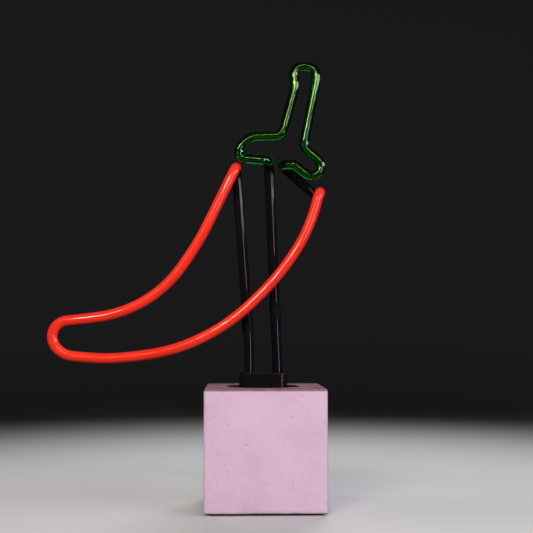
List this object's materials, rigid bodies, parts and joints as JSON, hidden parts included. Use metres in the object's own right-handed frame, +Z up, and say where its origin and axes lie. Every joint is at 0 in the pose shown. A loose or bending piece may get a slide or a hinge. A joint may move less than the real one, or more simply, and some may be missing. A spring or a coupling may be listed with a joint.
{
  "type": "glass neon table sign",
  "caption": "Table-top neon sign: one bent glass tube drawing a red chilli pepper with a green stalk, on two black glass legs in a lift-out module seated in a concrete cube.",
  "frame": {"origin": "centre of the underside of the base pad, on the surface the sign stands on", "axes": "+Z up, figure faces -Y, +X to the viewer's right when facing the figure"},
  "size_m": [0.268, 0.117, 0.4328],
  "materials": {
    "concrete": "cast, slightly rough, with pinholes; the poured top is darker",
    "pad_rubber": "matt foam rubber",
    "sleeve_pvc": "extruded",
    "black_plastic": "satin moulded",
    "cup_plastic": "moulded",
    "steel": "zinc plated",
    "grommet_rubber": "matt",
    "clamp_nylon": "natural nylon",
    "black_coat": "glossy black block-out paint over glass",
    "red_glass": "opaque red, glossy, with a faint glow",
    "green_glass": "clear coloured, glossy, painted black where it turns back",
    "shrink_sleeve": "matt heat-shrink",
    "electrode_metal": "nickel iron",
    "boot_silicone": "silicone",
    "hv_wire": "silicone insulation",
    "case_plastic": "moulded",
    "board": "solder mask",
    "ferrite": "sintered",
    "winding": "taped winding",
    "capacitor_can": "sleeved can",
    "transistor_case": "epoxy",
    "jack_body": "moulded",
    "jack_nut_metal": "nickel plated",
    "lv_wire": "PVC insulation"
  },
  "bodies": {
    "base": {"concrete_block": "concrete", "base_pad": "pad_rubber", "bore_sleeve": "sleeve_pvc", "rear_bushing": "black_plastic"},
    "module": {"socket_flange": "black_plastic", "housing_cup": "cup_plastic", "cup_screws": "steel", "grommet_left": "grommet_rubber", "grommet_right": "grommet_rubber", "leg_clamp": "clamp_nylon", "clamp_screws": "steel", "leg_left": "black_coat", "leg_right": "black_coat", "red_tube": "red_glass", "link_tube": "black_coat", "green_tube": "green_glass", "weld_sleeve_left": "shrink_sleeve", "weld_sleeve_right": "shrink_sleeve", "electrode_left": "electrode_metal", "electrode_right": "electrode_metal", "boot_left": "boot_silicone", "boot_right": "boot_silicone", "hv_lead_left": "hv_wire", "hv_lead_right": "hv_wire", "supply_case": "case_plastic", "supply_lid": "case_plastic", "circuit_board": "board", "transformer_core": "ferrite", "transformer_coil": "winding", "board_capacitors": "capacitor_can", "power_transistor": "transistor_case", "dc_jack": "jack_body", "jack_nut": "jack_nut_metal", "lv_leads": "lv_wire"}
  },
  "joints": [
    {"name": "module_lift", "type": "slide", "parent": "base", "child": "module", "axis": [0, 0, 1], "range_m": [0, 0.1]}
  ]
}
